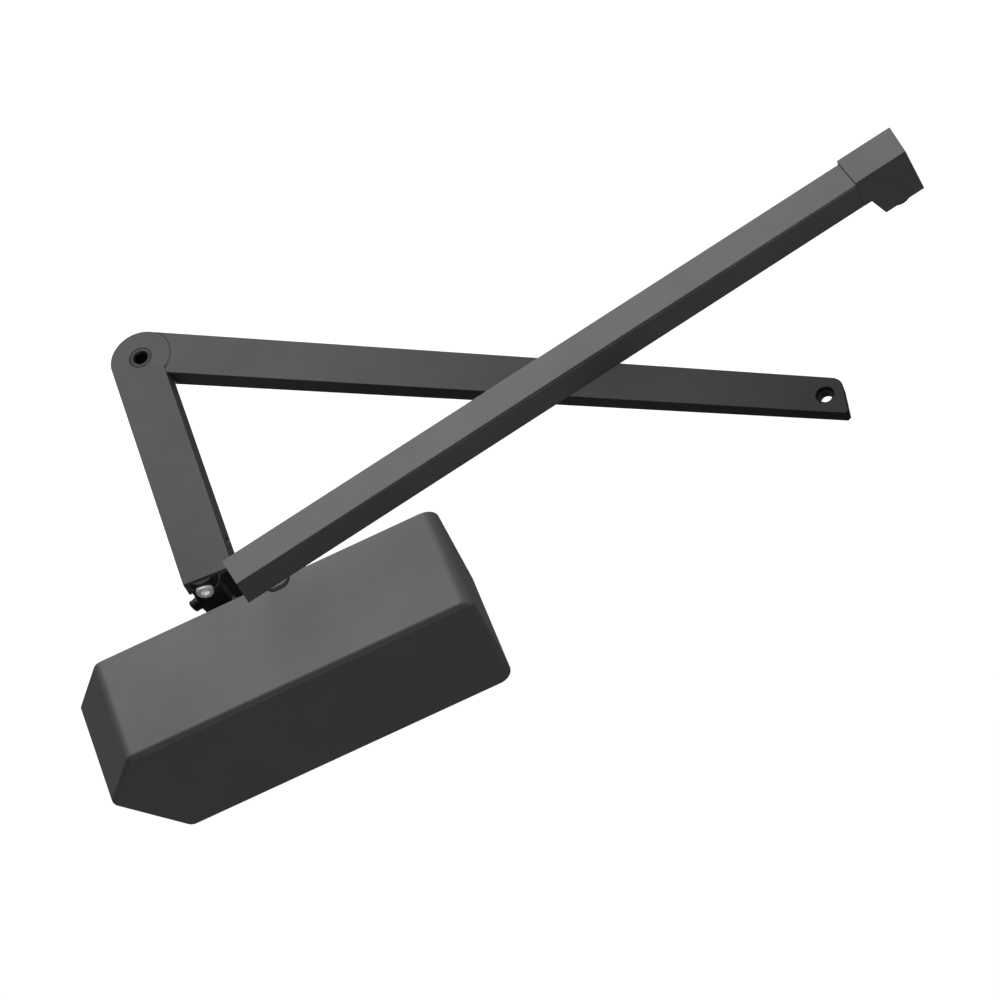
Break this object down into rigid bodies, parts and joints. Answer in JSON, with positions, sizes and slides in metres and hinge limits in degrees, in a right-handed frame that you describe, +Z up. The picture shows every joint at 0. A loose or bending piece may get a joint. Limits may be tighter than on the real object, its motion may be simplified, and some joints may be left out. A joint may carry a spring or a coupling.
{
  "type": "surface-mounted door closer",
  "caption": "Surface-mounted hydraulic door closer: pointed box cover over the body, folding flat arm on the spindle and a stay rail with an end block.",
  "frame": {"origin": "on the back plate's rear face, where it lies against the door, level with the cylinder's bore and half way along the body", "axes": "+X along the body towards its square end, +Y through the back plate into the door, +Z up along the spindle towards the arms"},
  "size_m": [0.7979, 0.3803, 0.1824],
  "materials": {
    "black_paint": "satin black powder coat with a fine texture",
    "cast_paint": "dark painted casting",
    "dark_steel": "blackened steel",
    "zinc": "bright zinc plate",
    "spring_steel": "oiled spring steel",
    "bright_steel": "ground steel",
    "bronze": "plain bronze",
    "rubber": "matt black rubber",
    "nylon": "black nylon"
  },
  "bodies": {
    "closer_body": {"cover": "black_paint", "back_plate": "cast_paint", "body_casting": "cast_paint", "mounting_screw_1": "zinc", "mounting_screw_2": "zinc", "mounting_screw_3": "zinc", "mounting_screw_4": "zinc", "cover_screw_1": "dark_steel", "cover_screw_2": "dark_steel", "left_end_plug": "dark_steel", "left_plug_seal": "rubber", "right_end_plug": "dark_steel", "right_plug_seal": "rubber", "spring_seat": "bright_steel", "closing_spring": "spring_steel", "upper_bearing": "bronze", "shaft_seal": "rubber", "bearing_retainer": "dark_steel", "bottom_cap": "dark_steel", "lower_bearing": "bronze", "rail_bracket": "black_paint", "bracket_screw_1": "zinc", "bracket_screw_2": "zinc", "shoe_pin": "zinc"},
    "spindle_and_arm": {"spindle_pinion": "bright_steel", "main_arm": "black_paint", "arm_hub": "dark_steel", "hub_set_screw": "zinc", "hub_side_screw": "dark_steel", "hub_cross_pin": "dark_steel", "elbow_bolt": "dark_steel", "elbow_washer": "zinc", "elbow_nut": "zinc"},
    "forearm_body": {"forearm": "black_paint", "elbow_bush": "bronze", "forearm_end_bush": "zinc"},
    "piston_body": {"piston": "bright_steel", "piston_ring_left": "bronze", "piston_ring_right": "bronze", "piston_check_valve": "zinc"},
    "shoe_body": {"slide_shoe": "nylon"},
    "rail_body": {"slide_rail": "black_paint", "rail_end_plug": "nylon", "stop_buffer": "rubber", "stop_clamp": "bright_steel", "stop_clamp_screw": "zinc", "end_block": "black_paint", "end_block_screw_1": "dark_steel", "end_block_screw_2": "dark_steel", "swivel_grub_screw": "dark_steel"},
    "foot_body": {"frame_swivel": "dark_steel"},
    "backcheck_screw": {"backcheck_valve": "bronze"},
    "sweep_screw": {"sweep_valve": "bronze"},
    "latch_screw": {"latch_valve": "bronze"},
    "force_screw": {"closing_force_adjuster": "zinc"}
  },
  "joints": [
    {"name": "spindle_swing", "type": "hinge", "parent": "closer_body", "child": "spindle_and_arm", "pos_m": [-0.0432, -0.022, 0], "axis": [0, 0, 1], "range_deg": [0, 150], "stiffness_Nm_per_rad": 6},
    {"name": "elbow_swing", "type": "hinge", "parent": "spindle_and_arm", "child": "forearm_body", "pos_m": [-0.02682, 0.20381, 0.1], "axis": [0, 0, 1], "range_deg": [0, 110]},
    {"name": "piston_slide", "type": "slide", "parent": "closer_body", "child": "piston_body", "axis": [1, 0, 0], "range_m": [0, 0.032], "deforming": ["closing_spring"]},
    {"name": "rail_swing", "type": "hinge", "parent": "closer_body", "child": "shoe_body", "pos_m": [0.012, -0.0576, 0.12], "axis": [0, 0, 1], "range_deg": [-60, 60]},
    {"name": "rail_slide", "type": "slide", "parent": "shoe_body", "child": "rail_body", "axis": [-0.9851, -0.1721, 0], "range_m": [0, 0.2]},
    {"name": "foot_swivel", "type": "hinge", "parent": "rail_body", "child": "foot_body", "pos_m": [0.59453, 0.04417, 0.09], "axis": [0, 0, 1], "range_deg": [-90, 90]},
    {"name": "backcheck_turn", "type": "hinge", "parent": "closer_body", "child": "backcheck_screw", "pos_m": [-0.11, -0.02, 0.015], "axis": [1, 0, 0], "range_deg": [0, 360]},
    {"name": "sweep_turn", "type": "hinge", "parent": "closer_body", "child": "sweep_screw", "pos_m": [-0.11, -0.02, 0], "axis": [1, 0, 0], "range_deg": [0, 360]},
    {"name": "latch_turn", "type": "hinge", "parent": "closer_body", "child": "latch_screw", "pos_m": [-0.11, -0.02, -0.015], "axis": [1, 0, 0], "range_deg": [0, 360]},
    {"name": "force_adjuster_turn", "type": "hinge", "parent": "closer_body", "child": "force_screw", "pos_m": [0.115, -0.052, 0], "axis": [1, 0, 0], "range_deg": [0, 360]}
  ],
  "couplings": [
    {"joint": "piston_slide", "follows": "spindle_swing", "m_per_rad": 0.0118}
  ]
}
